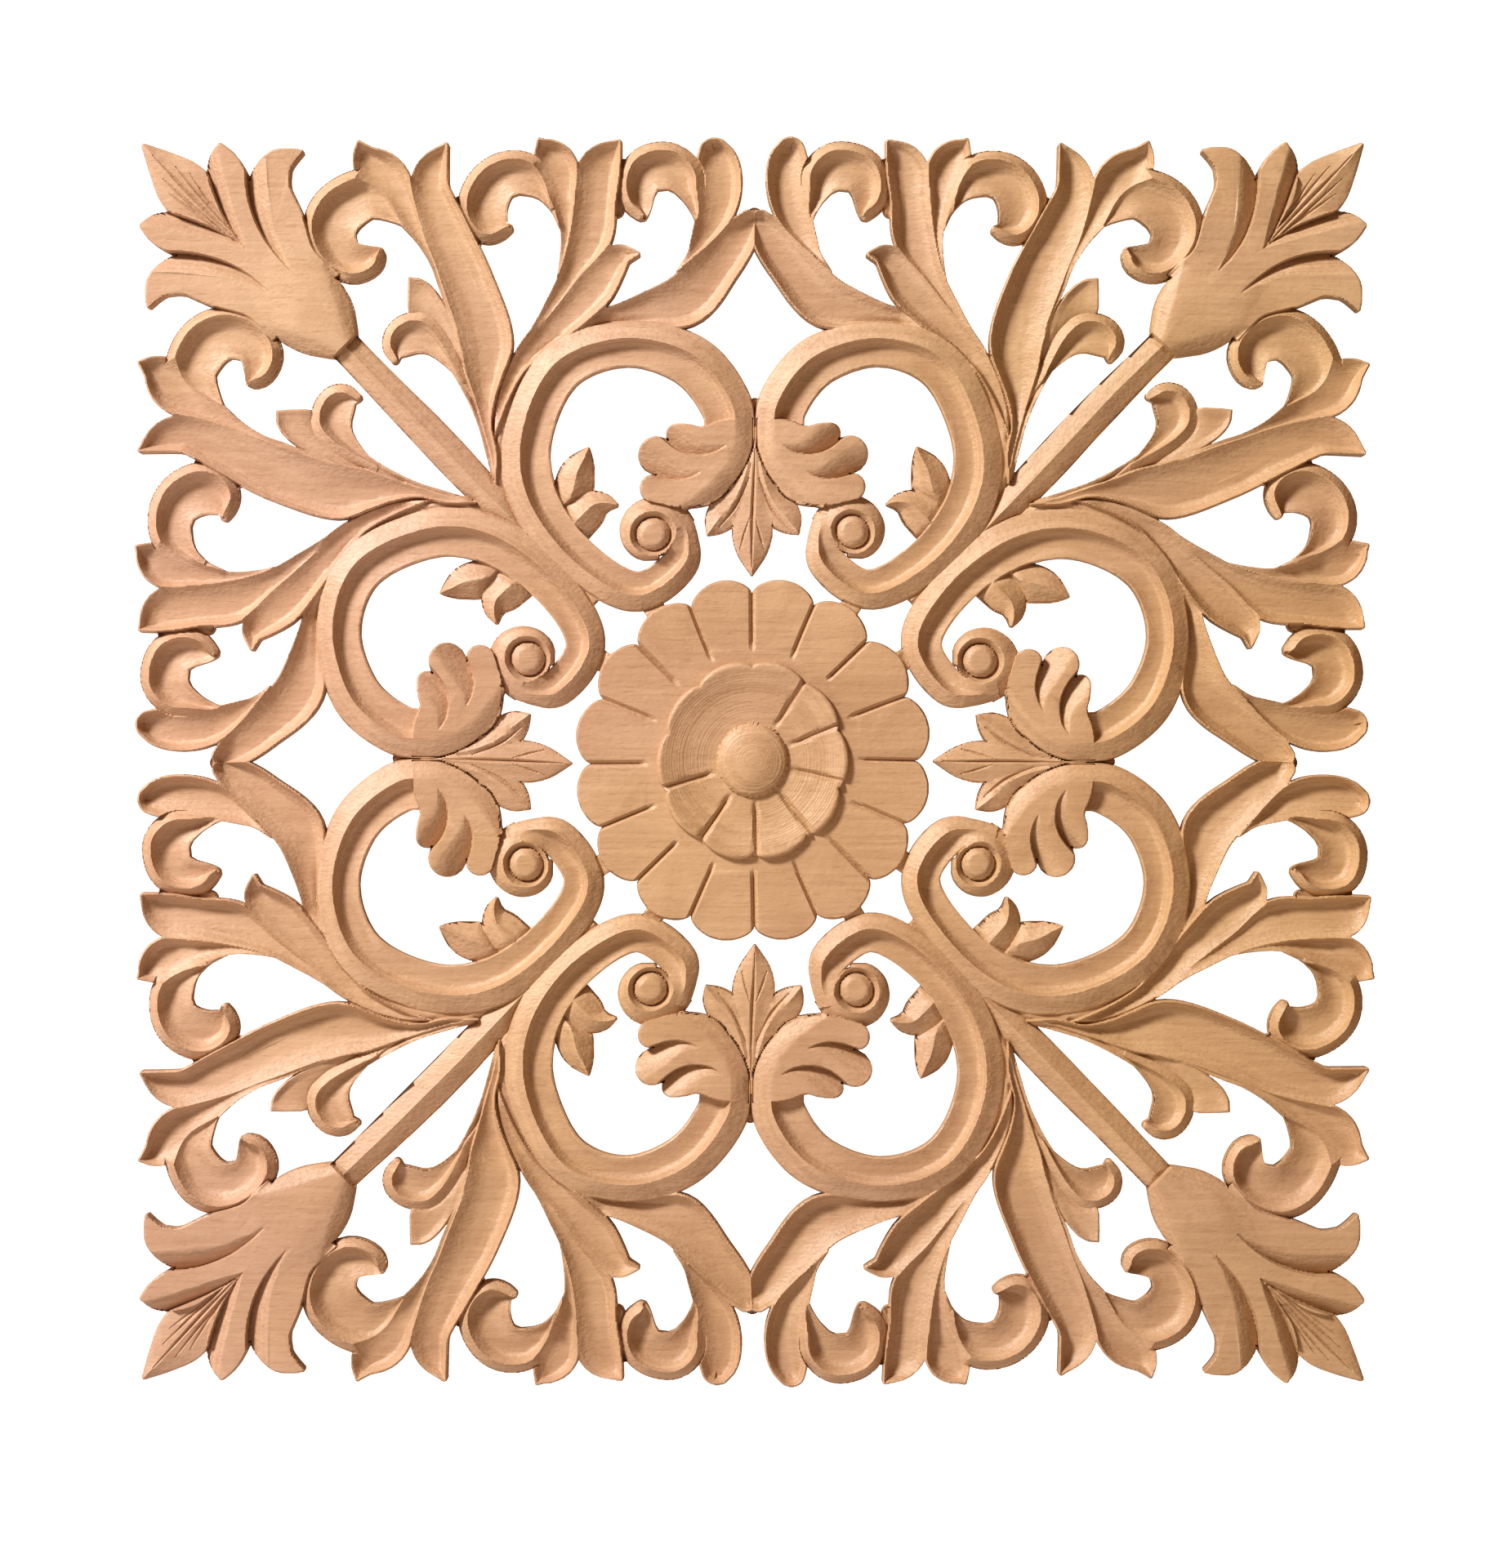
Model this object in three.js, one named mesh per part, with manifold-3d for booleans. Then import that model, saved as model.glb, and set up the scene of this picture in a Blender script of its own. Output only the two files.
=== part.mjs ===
// Carved wood medallion: a square pierced panel, sawn and carved from one board, to be fixed flat on a wall.
// Units are millimetres and +Z is up. The flat back lies on the plane y = 0 and the carving faces -Y.
// The design repeats eight times: one octant, from the vertical axis to the diagonal, is mirrored and turned.
import * as THREE from "three";
import { mergeVertices } from "three/addons/utils/BufferGeometryUtils.js";
import Module from "manifold-3d";

const wasm = await Module();
wasm.setup();

// Driving dimensions of the panel.
const WIDTH = 600; // across the carved tips, the span that the design below is drawn in
const HEIGHT = 606; // the board is a little taller than it is wide
const STATION_STEP = 9; // length of one facet along a form, before thinning
const LEAST_STATIONS = 5;
const LEAST_HALF = 0.5; // half-width of the sharpest tip
const FACETS = { octant: 1040, corner: 130, side: 80, flower: 620, whole: 9900 }; // left in each by thinning
const OUTLINE_WEIGHT = 4; // how much more the upright walls of the outline count than the carving, in thinning
const LENGTH_WEIGHT = 1e-6; // how much a move's length counts in thinning, to put equal moves in order
const ROUND_SHARE = 0.06; // the cheapest share of the moves that one round of thinning may make
const UPRIGHT = 0.05; // a face whose normal leans less than this towards the front is a wall of the outline
const SAME_WAY = 0.5; // least cosine between a facet's old and new direction
const LEAST_FACET = 0.05; // area of the smallest facet that thinning may leave
const MERGE_DISTANCE = 1e-4; // vertices nearer than this are one
const FULL_GOUGE_WIDTH = 9; // half-width from which a hollow is cut to its full depth
const SPARE = 2; // how far a form stands behind the back before the back is cut flat

// Heights over the back.
const SCROLL_TOP = 18;
const LEAF_TOP = 16.5;
const SIDE_LOBE_TOP = 15.5;
const SPRIG_TOP = 14.5;
const WEB_TOP = 9.5; // the low wood that ties neighbouring forms together

// The flower in the middle: sixteen flat petals, and on them a turned rosette of ten petals with a boss.
const PETALS = { count: 16, tip: 87, notch: 79, height: 14, arcSteps: 6 };
const PETAL_GROOVE = { inner: 50, width: 2.6, depth: 2.5 };
const PETAL_ROUNDNESS = 0.6; // the lower, the fuller the petal's end
const ROSETTE = { count: 10, tip: 47, notch: 44, height: 19, arcSteps: 4 };
const ROSETTE_GROOVE = { inner: 19, width: 2.4, depth: 6.2 };
const ROSETTE_GROOVES = [1, 2, 3, 4, 5, 6, 7]; // the other three notches have no groove
const DISH = { radius: 42, floor: 14.5, sides: 30 };
const BOSS = { radius: 17, height: 19.5, sides: 20 };

// The volute's eye and the ring that winds round it.
const EYE = { x: 49.5, z: 109.8, radius: 8.7, edge: 15.5, top: 18, floorRadius: 11.5, sides: 14 };
const RING = {
  top: 17, depth: 4, knots: 7,
  turnFrom: 168, turnTo: -75, radiusFrom: 15.2, radiusTo: 11.6, halfFrom: 6, halfTo: 2.2,
};

// Sections across a form, as [place, share of the depth cut off the top].
// Place +1 is the left edge when looking along the form.
const SECTIONS = {
  scroll: [[-1, 0.6], [-0.35, 0], [0, 0.85], [1, 0.95]],
  channel: [[-1, 0], [0, 1], [1, 0]],
  dish: [[-1, 0.8], [0.2, 1], [1, 0]],
  lobe: [[-1, 1], [0.4, 0], [1, 0]],
  shoulder: [[-1, 1], [1, 0]],
  ring: [[-1, 0], [1, 1]],
  ridge: [[-1, 1], [0, 0], [1, 1]],
  blade: [[-1, 1], [-0.5, 0.1], [1, 0.2]],
  dome: [[-1, 1], [-0.55, 0.1], [0.55, 0.1], [1, 1]],
  vein: [[-1, 0.6], [-0.45, 0], [0, 1], [0.45, 0], [1, 0.6]],
  flat: [[-1, 0], [1, 0]],
};

// The carved forms of one octant: section, height of the highest edge, depth of the cut, and the centreline as
// knots of [x from the middle, z from the middle, half-width].
const OCTANT_FORMS = {
  scroll: {
    section: "scroll", top: SCROLL_TOP, depth: 6.5,
    knots: [[37, 118, 6], [34, 107, 6.4], [36, 95.5, 9], [56.5, 82, 9.6], [84.5, 97, 10.4], [106.5, 127, 12],
      [109.5, 155, 11.6], [92.5, 190.8, 11.6], [61.5, 201.7, 10.8], [30, 192.3, 12.2], [13.3, 170.5, 12.6],
      [12, 158, 12.6]],
  },
  claw_back: {
    section: "shoulder", top: SCROLL_TOP, depth: 5,
    knots: [[5, 166, 4.8], [5.5, 151, 4.6], [12, 137.5, 4.5], [22.5, 129, 4.4], [34, 125, 3.6]],
  },
  claw_upper: {
    section: "lobe", top: 16.5, depth: 4.5,
    knots: [[6, 158, 8], [15, 157.5, 7.5], [28, 156.5, 7.2], [36, 157.4, 6.2], [43, 158.4, 2.4]],
  },
  claw_middle: {
    section: "lobe", top: 17, depth: 4.5,
    knots: [[8, 146, 7], [18, 144.5, 7], [31, 143, 6.8], [42, 145.5, 9], [50, 149, 9], [57, 151, 3.5]],
  },
  claw_lower: {
    section: "lobe", top: 17, depth: 3.5,
    knots: [[12, 137, 6.5], [21, 132, 7.6], [32, 130.5, 8.5], [43, 130.8, 7.4], [52.5, 134.5, 5]],
  },
  sprig_point: {
    section: "ridge", top: SPRIG_TOP, depth: 3,
    knots: [[91, 123, 6], [88, 131.5, 9.4], [86, 140, 8.2], [83, 146.5, 4.6], [80.6, 151.8, 0.8]],
  },
  sprig_hook: {
    section: "ridge", top: SPRIG_TOP, depth: 3,
    knots: [[88, 115, 10], [82, 121, 9.5], [78, 124.5, 7.3], [72.5, 125.7, 4.4], [67, 124.7, 1.2]],
  },
  first_leaf_blade: {
    section: "channel", top: LEAF_TOP, depth: 5,
    knots: [[124.5, 147, 3.5], [128, 165, 4.5], [128, 185, 9.5], [128.6, 202, 13.4], [137.5, 230, 13.3],
      [150.5, 256.5, 12.6], [157, 275, 10.2], [156.5, 284.5, 9], [149.6, 296.5, 1.6]],
  },
  first_leaf_horn: {
    section: "channel", top: LEAF_TOP, depth: 4,
    knots: [[161, 251, 4], [167, 260, 4], [173.5, 271, 7], [179.5, 280.5, 12.8], [188, 289.5, 7],
      [191.6, 298, 1.2]],
  },
  first_leaf_curl: {
    section: "dish", top: LEAF_TOP, depth: 5.5,
    knots: [[176, 267, 12.5], [186, 274.3, 15], [199.5, 270.5, 14.9], [205.7, 259, 13.2], [201, 246, 11],
      [191, 240.8, 9.2], [183, 243.5, 5.8], [180, 247, 2.8]],
  },
  second_leaf_side: {
    section: "channel", top: SIDE_LOBE_TOP, depth: 4.5,
    knots: [[118, 184, 5], [106.5, 198.5, 6.2], [95.5, 209.5, 8], [86, 219, 9.8], [77.3, 229, 11.4],
      [70, 237.5, 9], [64, 242.5, 5.6], [55.5, 243.4, 1.2]],
  },
  second_leaf_blade: {
    section: "channel", top: LEAF_TOP, depth: 5,
    knots: [[105, 207.5, 2.4], [95.5, 221.5, 3.6], [87, 235, 5.6], [78.5, 252.5, 11], [76, 270, 10.3],
      [74.5, 284.5, 10.6], [65.5, 297, 2]],
  },
  second_leaf_horn: {
    section: "channel", top: LEAF_TOP, depth: 4,
    knots: [[91.5, 240, 1.5], [89.5, 255, 3], [91.5, 273, 6.6], [95.5, 286, 11], [104, 298.6, 1.4]],
  },
  second_leaf_curl: {
    section: "dish", top: LEAF_TOP, depth: 5.5,
    knots: [[95, 272, 7], [104, 281.5, 12], [117, 282.3, 12.4], [127, 276.5, 13], [131, 267.5, 13],
      [127.5, 258.5, 10], [120.5, 255.5, 5.6], [115.5, 257, 2]],
  },
  third_leaf_side: {
    section: "channel", top: SIDE_LOBE_TOP, depth: 4.5,
    knots: [[84, 209.5, 6.5], [66, 214, 6], [51, 217.5, 8.6], [34.5, 222, 13.5], [18, 239.5, 12],
      [9, 250.5, 10.4], [2.5, 258.5, 6]],
  },
  third_leaf_blade: {
    section: "channel", top: LEAF_TOP, depth: 5,
    knots: [[52, 221.5, 2.5], [38, 232.5, 3], [26, 249, 3.8], [18, 264.5, 9.2], [16.2, 280, 10.7],
      [17.8, 291, 9.6], [19, 298, 4]],
  },
  third_leaf_curl: {
    section: "dish", top: LEAF_TOP, depth: 5.5,
    knots: [[25, 272, 9], [30, 282, 11.4], [41, 286, 10.8], [51, 283.3, 11.8], [56, 275, 10.6], [55, 266.5, 9],
      [52.5, 261.5, 6.5]],
  },
  tongue_point: {
    section: "channel", top: SPRIG_TOP, depth: 3,
    knots: [[126.5, 146, 2.2], [131.5, 164.5, 2.6], [139.2, 184.5, 4.4], [149, 204, 7.2], [158, 217, 9.4],
      [162, 226, 6], [167, 232.2, 0.8]],
  },
  tongue_hook: {
    section: "dish", top: SPRIG_TOP, depth: 4,
    knots: [[138, 181, 2], [145.5, 192.5, 4.2], [155, 202.5, 7.4], [163, 206, 10], [170, 204, 9.6],
      [174.3, 199, 6], [174, 192.5, 2]],
  },
  corner_outer_leaf: {
    section: "blade", top: 17, depth: 4,
    knots: [[207, 229, 8.3], [220.5, 243, 8], [231, 261, 12.2], [235.5, 276, 10.8], [231, 288.5, 7.4],
      [219, 294.2, 1]],
  },
  corner_inner_leaf: {
    section: "blade", top: 16, depth: 4,
    knots: [[230, 236, 6], [246, 257, 7.6], [254, 276, 11], [257, 287, 8.4], [258.6, 297, 1.5]],
  },
  pendant_side: {
    section: "ridge", top: 14, depth: 2.5,
    knots: [[2.5, 145, 3.5], [6.7, 131, 5.6], [11.5, 122.5, 8.6], [16.5, 117, 7.6], [22.6, 109, 0.9]],
  },
  inner_curl_web: { section: "flat", top: WEB_TOP, depth: 0, knots: [[65.5, 289.5, 3.5], [66, 265, 3.5]] },
  outer_curl_web: { section: "flat", top: WEB_TOP, depth: 0, knots: [[145, 271.5, 3], [134.5, 250.5, 3]] },
  root_web: {
    section: "flat", top: WEB_TOP, depth: 0,
    knots: [[96, 98, 8], [116, 132, 9], [119, 160, 9], [111, 190, 8]],
  },
  flower_web: { section: "flat", top: WEB_TOP, depth: 0, knots: [[44, 66, 6], [52, 79, 6]] },
};

// Forms that lie across the diagonal or the vertical axis, and so are made once for each corner or side.
const CORNER_FORMS = {
  stem: { section: "ridge", top: 15, depth: 3.5, knots: [[110, 110, 2], [125, 125, 7.6], [202, 202, 8]] },
  groove_floor: { section: "flat", top: 11, depth: 0, knots: [[77, 77, 8], [112, 112, 8]] },
  bulb: {
    section: "dome", top: 18, depth: 5,
    knots: [[198.8, 198.8, 7.8], [202.5, 202.5, 13.6], [208.5, 208.5, 19], [216, 216, 22.6], [225, 225, 20],
      [241, 241, 6]],
  },
  corner_tip: {
    section: "vein", top: 15, depth: 3,
    knots: [[243.5, 243.5, 3.5], [257, 257, 6], [271, 271, 12.6], [276.5, 276.5, 13.4], [284, 284, 9.6],
      [296.6, 296.6, 1.2]],
  },
};
const SIDE_FORMS = {
  pendant: {
    section: "vein", top: 14, depth: 2.5,
    knots: [[0, 162, 1.2], [0, 140, 5], [0, 122, 9], [0, 112, 10.5], [0, 104, 9], [0, 88.5, 0.8]],
  },
  leaf_bridge: { section: "flat", top: 11, depth: 0, knots: [[0, 249.5, 4], [0, 261.5, 4]] },
  scroll_bridge: { section: "flat", top: 11, depth: 0, knots: [[0, 140, 4], [0, 171.5, 4]] },
};

// A closed three.js geometry as a solid that can be joined and cut.
function solidOf(geometry) {
  const bare = geometry.clone();
  bare.deleteAttribute("normal");
  bare.deleteAttribute("uv");
  const merged = mergeVertices(bare, MERGE_DISTANCE);
  return new wasm.Manifold(new wasm.Mesh({
    numProp: 3,
    vertProperties: merged.getAttribute("position").array,
    triVerts: new Uint32Array(merged.index.array),
  }));
}

function geometryOf(solid) {
  const mesh = solid.getMesh();
  const geometry = new THREE.BufferGeometry();
  geometry.setAttribute("position", new THREE.BufferAttribute(mesh.vertProperties, 3));
  geometry.setIndex(new THREE.BufferAttribute(mesh.triVerts, 1));
  return geometry;
}

function join(solids) {
  return solids.reduce((whole, solid) => whole.add(solid));
}

// A geometry moved by a matrix, with its faces turned round where the matrix mirrors it.
function moved(geometry, matrix) {
  const copy = geometry.clone().applyMatrix4(matrix);
  if (matrix.determinant() < 0) {
    const index = copy.index.array;
    for (let i = 0; i < index.length; i += 3) {
      [index[i + 1], index[i + 2]] = [index[i + 2], index[i + 1]];
    }
  }
  return copy;
}

// Wide slab between two heights over the back.
function slab(low, high) {
  const box = new THREE.BoxGeometry(WIDTH * 2, high - low, HEIGHT * 2);
  return solidOf(box.translate(0, -(low + high) / 2, 0));
}

// Stations along a form's smooth centreline, each with its place, its left-hand side and its half-width.
function stationsOf(knots) {
  const points = knots.map(([x, z, half]) => new THREE.Vector3(x, half, z));
  const curve = new THREE.CatmullRomCurve3(points, false, "centripetal");
  const count = Math.max(LEAST_STATIONS, Math.round(curve.getLength() / STATION_STEP));
  return Array.from({ length: count + 1 }, (_, i) => {
    const point = curve.getPointAt(i / count);
    const tangent = curve.getTangentAt(i / count);
    const length = Math.hypot(tangent.x, tangent.z);
    const left = [-tangent.z / length, tangent.x / length];
    return { x: point.x, z: point.z, half: Math.max(point.y, LEAST_HALF), left };
  });
}

// A carved form: its section stands up from behind the back and is swept along the stations.
// The cut is shallower where the form is narrow.
function carvedForm({ section, top, depth, knots }) {
  const shape = SECTIONS[section];
  const stations = stationsOf(knots);
  const positions = [];
  for (const { x, z, half, left } of stations) {
    const share = Math.min(1, half / FULL_GOUGE_WIDTH);
    for (const [place, cut] of shape) {
      const px = x + left[0] * half * place;
      const pz = z + left[1] * half * place;
      positions.push(px, cut * depth * share - top, pz, px, SPARE, pz);
    }
  }
  const size = 2 * shape.length;
  const end = (stations.length - 1) * size;
  const index = [];
  const quad = (a, b, c, d) => index.push(a, c, b, a, d, c);
  for (let k = 0; k + 2 < size; k += 2) {
    for (let here = 0; here < end; here += size) {
      const next = here + size;
      quad(here + k, here + k + 2, next + k + 2, next + k);
      quad(here + k + 1, next + k + 1, next + k + 3, here + k + 3);
    }
    quad(k, k + 1, k + 3, k + 2);
    quad(end + k, end + k + 2, end + k + 3, end + k + 1);
  }
  for (let here = 0; here < end; here += size) {
    const next = here + size;
    quad(here + 1, here, next, next + 1);
    quad(here + size - 2, here + size - 1, next + size - 1, next + size - 2);
  }
  const geometry = new THREE.BufferGeometry();
  geometry.setAttribute("position", new THREE.Float32BufferAttribute(positions, 3));
  geometry.setIndex(index);
  return geometry;
}

// The planes that meet at each vertex, as the sum of their squared distances: a 4 by 4 matrix, row by row.
function planeSums(points, faces) {
  const sums = points.map(() => new Float64Array(16));
  const triangle = new THREE.Triangle();
  const plane = new THREE.Plane();
  for (const face of faces) {
    triangle.set(...face.map((v) => points[v])).getPlane(plane);
    const weight = Math.abs(plane.normal.y) < UPRIGHT ? OUTLINE_WEIGHT : 1;
    const terms = [plane.normal.x, plane.normal.y, plane.normal.z, plane.constant].map((term) => term * weight);
    for (const v of face) {
      sums[v].forEach((value, k) => {
        sums[v][k] = value + terms[k >> 2] * terms[k & 3];
      });
    }
  }
  return sums;
}

function squaredDistance(sum, { x, y, z }) {
  const terms = [x, y, z, 1];
  return sum.reduce((total, value, k) => total + value * terms[k >> 2] * terms[k & 3], 0);
}

// Whether the faces round a vertex, other than those on the dropped edge, look the same way once it is moved.
function staysOutward(points, around, from, to) {
  const before = new THREE.Vector3();
  const after = new THREE.Vector3();
  return around.every((face) => {
    if (face.includes(to)) return true;
    THREE.Triangle.getNormal(...face.map((v) => points[v]), before);
    const corners = face.map((v) => points[v === from ? to : v]);
    THREE.Triangle.getNormal(...corners, after);
    return before.dot(after) > SAME_WAY && new THREE.Triangle(...corners).getArea() > LEAST_FACET;
  });
}

// Every way to move a vertex onto a neighbour, the cheapest first.
function movesOf(points, faces, sums) {
  const moves = [];
  for (const face of faces) {
    for (const from of face) {
      for (const to of face.filter((v) => v !== from)) {
        const sum = sums[from].map((value, k) => value + sums[to][k]);
        const length = points[from].distanceToSquared(points[to]);
        moves.push({ from, to, cost: squaredDistance(sum, points[to]) + LENGTH_WEIGHT * length });
      }
    }
  }
  return moves.sort((a, b) => a.cost - b.cost);
}

// One round of thinning. It moves at most the wanted number of vertices, none of them close to another, and
// gives back how many it moved.
function thinningRound(points, faces, sums, wanted) {
  const around = points.map(() => []);
  faces.forEach((face) => face.forEach((v) => around[v].push(face)));
  const moves = movesOf(points, faces, sums);
  const dearest = moves[Math.floor(moves.length * ROUND_SHARE)].cost;
  const touched = new Set();
  let dropped = 0;
  for (const { from, to, cost } of moves) {
    if (dropped >= wanted || (dropped > 0 && cost > dearest)) break;
    const near = new Set(around[from].flat());
    const far = around[to].flat();
    if ([...near, ...far].some((v) => touched.has(v))) continue;
    const shared = new Set(far.filter((v) => near.has(v) && v !== from && v !== to));
    if (shared.size !== 2 || !staysOutward(points, around[from], from, to)) continue;
    near.forEach((v) => touched.add(v));
    sums[to] = sums[to].map((value, k) => value + sums[from][k]);
    for (const face of around[from]) {
      face[face.indexOf(from)] = to;
    }
    dropped += 1;
  }
  return dropped;
}

// The same solid with fewer facets: the vertices that matter least are moved onto a neighbour, round by round.
// Every vertex that is left stays where it was, so the flat back stays flat.
function thinned(geometry, mostTriangles) {
  const position = geometry.getAttribute("position");
  const order = Array.from(geometry.index.array);
  const pointAt = (_, i) => new THREE.Vector3().fromBufferAttribute(position, i);
  const points = Array.from({ length: position.count }, pointAt);
  let faces = Array.from({ length: order.length / 3 }, (_, i) => order.slice(3 * i, 3 * i + 3));
  const sums = planeSums(points, faces);
  let dropped = 1;
  while (faces.length > mostTriangles && dropped > 0) {
    dropped = thinningRound(points, faces, sums, Math.ceil((faces.length - mostTriangles) / 2));
    faces = faces.filter(([a, b, c]) => a !== b && b !== c && c !== a);
  }
  const thin = new THREE.BufferGeometry().setFromPoints(points);
  thin.setIndex(faces.flat());
  return mergeVertices(thin, MERGE_DISTANCE);
}

// A solid turned about the medallion's depth axis: its outline is given as [radius, height over the back].
function turned(outline, sides, x = 0, z = 0) {
  const points = outline.map(([radius, height]) => new THREE.Vector2(radius, height));
  return new THREE.LatheGeometry(points, sides).rotateX(Math.PI).translate(x, 0, z);
}

// A flat plate with a scalloped rim, one arc for each petal.
function scallopedPlate({ count, tip, notch, height, arcSteps }) {
  const total = count * arcSteps;
  const corners = Array.from({ length: total }, (_, i) => {
    const angle = (i / total) * 2 * Math.PI;
    const bulge = Math.pow(Math.abs(Math.sin((i / arcSteps) * Math.PI)), PETAL_ROUNDNESS);
    const radius = notch + (tip - notch) * bulge;
    return new THREE.Vector2(radius * Math.sin(angle), radius * Math.cos(angle));
  });
  const settings = { depth: height + SPARE, bevelEnabled: false };
  const plate = new THREE.ExtrudeGeometry(new THREE.Shape(corners), settings);
  return plate.rotateX(Math.PI / 2).translate(0, SPARE, 0);
}

// A V-shaped cutter that lies along one radius, with its point at the groove's bottom.
function radialGroove({ inner, width, depth }, outer, surface, angle) {
  const lidShare = 1.5;
  const shape = new THREE.Shape([
    new THREE.Vector2((-width / 2) * lidShare, depth * (lidShare - 1)),
    new THREE.Vector2(0, -depth),
    new THREE.Vector2((width / 2) * lidShare, depth * (lidShare - 1)),
  ]);
  const cutter = new THREE.ExtrudeGeometry(shape, { depth: outer - inner, bevelEnabled: false });
  return cutter.rotateZ(Math.PI).translate(0, -surface, inner).rotateY(angle);
}

function flower() {
  const lid = ROSETTE.height + SPARE;
  const dish = turned([[0, DISH.floor], [BOSS.radius, DISH.floor], [DISH.radius * 0.8, DISH.floor + 1.5],
    [DISH.radius, ROSETTE.height - 0.5], [DISH.radius + 1, lid], [0, lid]], DISH.sides);
  const boss = turned([[0, 1], [BOSS.radius, 1], [BOSS.radius, DISH.floor + 0.8],
    [BOSS.radius * 0.6, BOSS.height - 1.2], [0, BOSS.height]], BOSS.sides);
  const petalStep = (2 * Math.PI) / PETALS.count;
  const rosetteStep = (2 * Math.PI) / ROSETTE.count;
  const petalGrooves = Array.from({ length: PETALS.count }, (_, i) =>
    solidOf(radialGroove(PETAL_GROOVE, PETALS.tip, PETALS.height, i * petalStep)));
  const rosetteGrooves = ROSETTE_GROOVES.map((i) =>
    solidOf(radialGroove(ROSETTE_GROOVE, ROSETTE.tip, ROSETTE.height, i * rosetteStep)));
  const petals = solidOf(scallopedPlate(PETALS)).subtract(join(petalGrooves));
  const rosette = solidOf(scallopedPlate(ROSETTE)).subtract(solidOf(dish)).subtract(join(rosetteGrooves));
  return join([petals, rosette, solidOf(boss)]);
}

// The ring that winds round the volute's eye, as knots on a spiral.
function ringKnots() {
  return Array.from({ length: RING.knots }, (_, i) => {
    const share = i / (RING.knots - 1);
    const angle = THREE.MathUtils.degToRad(THREE.MathUtils.lerp(RING.turnFrom, RING.turnTo, share));
    const radius = THREE.MathUtils.lerp(RING.radiusFrom, RING.radiusTo, share);
    const half = THREE.MathUtils.lerp(RING.halfFrom, RING.halfTo, share);
    return [EYE.x + radius * Math.cos(angle), EYE.z + radius * Math.sin(angle), half];
  });
}

function eye() {
  const { radius, edge, top, floorRadius } = EYE;
  const button = [[0, -SPARE], [radius, -SPARE], [radius, edge], [radius / 2, top], [0, top]];
  const floor = [[0, -SPARE], [floorRadius, -SPARE], [floorRadius, WEB_TOP], [0, WEB_TOP]];
  return join([button, floor].map((outline) => solidOf(turned(outline, EYE.sides, EYE.x, EYE.z))));
}

function groupOf(forms) {
  return join(Object.values(forms).map((form) => solidOf(carvedForm(form))));
}

function octant() {
  const ring = carvedForm({ section: "ring", top: RING.top, depth: RING.depth, knots: ringKnots() });
  return join([groupOf(OCTANT_FORMS), solidOf(ring), eye()]);
}

// A group of forms with its back cut flat and its needless facets left out.
function flatBacked(solid, facets) {
  const cut = solid.intersect(slab(0, BOSS.height + SPARE));
  return thinned(mergeVertices(geometryOf(cut), MERGE_DISTANCE), facets);
}

// The whole panel: the octant in its eight places, the four corners, the four sides and the flower.
function medallion() {
  const swap = new THREE.Matrix4().set(0, 0, 1, 0, 0, 1, 0, 0, 1, 0, 0, 0, 0, 0, 0, 1);
  const octantGeometry = flatBacked(octant(), FACETS.octant);
  const cornerGeometry = flatBacked(groupOf(CORNER_FORMS), FACETS.corner);
  const sideGeometry = flatBacked(groupOf(SIDE_FORMS), FACETS.side);
  const pieces = [solidOf(flatBacked(flower(), FACETS.flower))];
  for (const flipX of [1, -1]) {
    for (const flipZ of [1, -1]) {
      const place = new THREE.Matrix4().makeScale(flipX, 1, flipZ);
      pieces.push(solidOf(moved(octantGeometry, place)));
      pieces.push(solidOf(moved(octantGeometry, place.clone().multiply(swap))));
      pieces.push(solidOf(moved(cornerGeometry, place)));
    }
    pieces.push(solidOf(moved(sideGeometry, new THREE.Matrix4().makeScale(1, 1, flipX))));
    pieces.push(solidOf(moved(sideGeometry, new THREE.Matrix4().makeScale(flipX, 1, 1).multiply(swap))));
  }
  const stretch = new THREE.Matrix4().makeScale(1, 1, HEIGHT / WIDTH);
  return moved(flatBacked(join(pieces), FACETS.whole), stretch);
}

const bareWood = new THREE.MeshStandardMaterial({ color: 0xcf9f73, roughness: 0.75, metalness: 0 });
const panel = new THREE.Mesh(medallion(), bareWood);
panel.name = "medallion_panel";

const part = new THREE.Group();
part.add(panel);
export default part;
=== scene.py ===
import math

import bmesh
import bpy
import numpy as np
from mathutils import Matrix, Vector


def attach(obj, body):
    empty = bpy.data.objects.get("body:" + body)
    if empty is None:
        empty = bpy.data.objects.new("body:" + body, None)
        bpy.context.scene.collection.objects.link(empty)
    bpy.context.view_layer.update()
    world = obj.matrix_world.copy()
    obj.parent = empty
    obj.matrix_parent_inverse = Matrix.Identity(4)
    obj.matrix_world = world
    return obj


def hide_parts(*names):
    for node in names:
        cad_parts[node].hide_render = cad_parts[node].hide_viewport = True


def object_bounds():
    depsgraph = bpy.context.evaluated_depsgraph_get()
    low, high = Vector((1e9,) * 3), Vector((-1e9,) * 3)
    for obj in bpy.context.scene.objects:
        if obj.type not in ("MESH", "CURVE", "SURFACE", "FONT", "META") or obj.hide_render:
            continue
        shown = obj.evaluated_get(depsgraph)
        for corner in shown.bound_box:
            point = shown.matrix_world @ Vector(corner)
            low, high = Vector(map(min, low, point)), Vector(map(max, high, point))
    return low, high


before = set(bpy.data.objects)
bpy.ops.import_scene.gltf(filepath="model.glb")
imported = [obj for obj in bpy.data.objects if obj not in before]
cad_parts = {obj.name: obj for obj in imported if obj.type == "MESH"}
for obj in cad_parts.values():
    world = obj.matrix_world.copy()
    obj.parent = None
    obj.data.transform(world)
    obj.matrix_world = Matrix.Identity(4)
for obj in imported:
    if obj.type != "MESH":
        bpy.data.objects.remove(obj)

CAD_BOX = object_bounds()
NODE = "medallion_panel"
BODY = "root"

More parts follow.
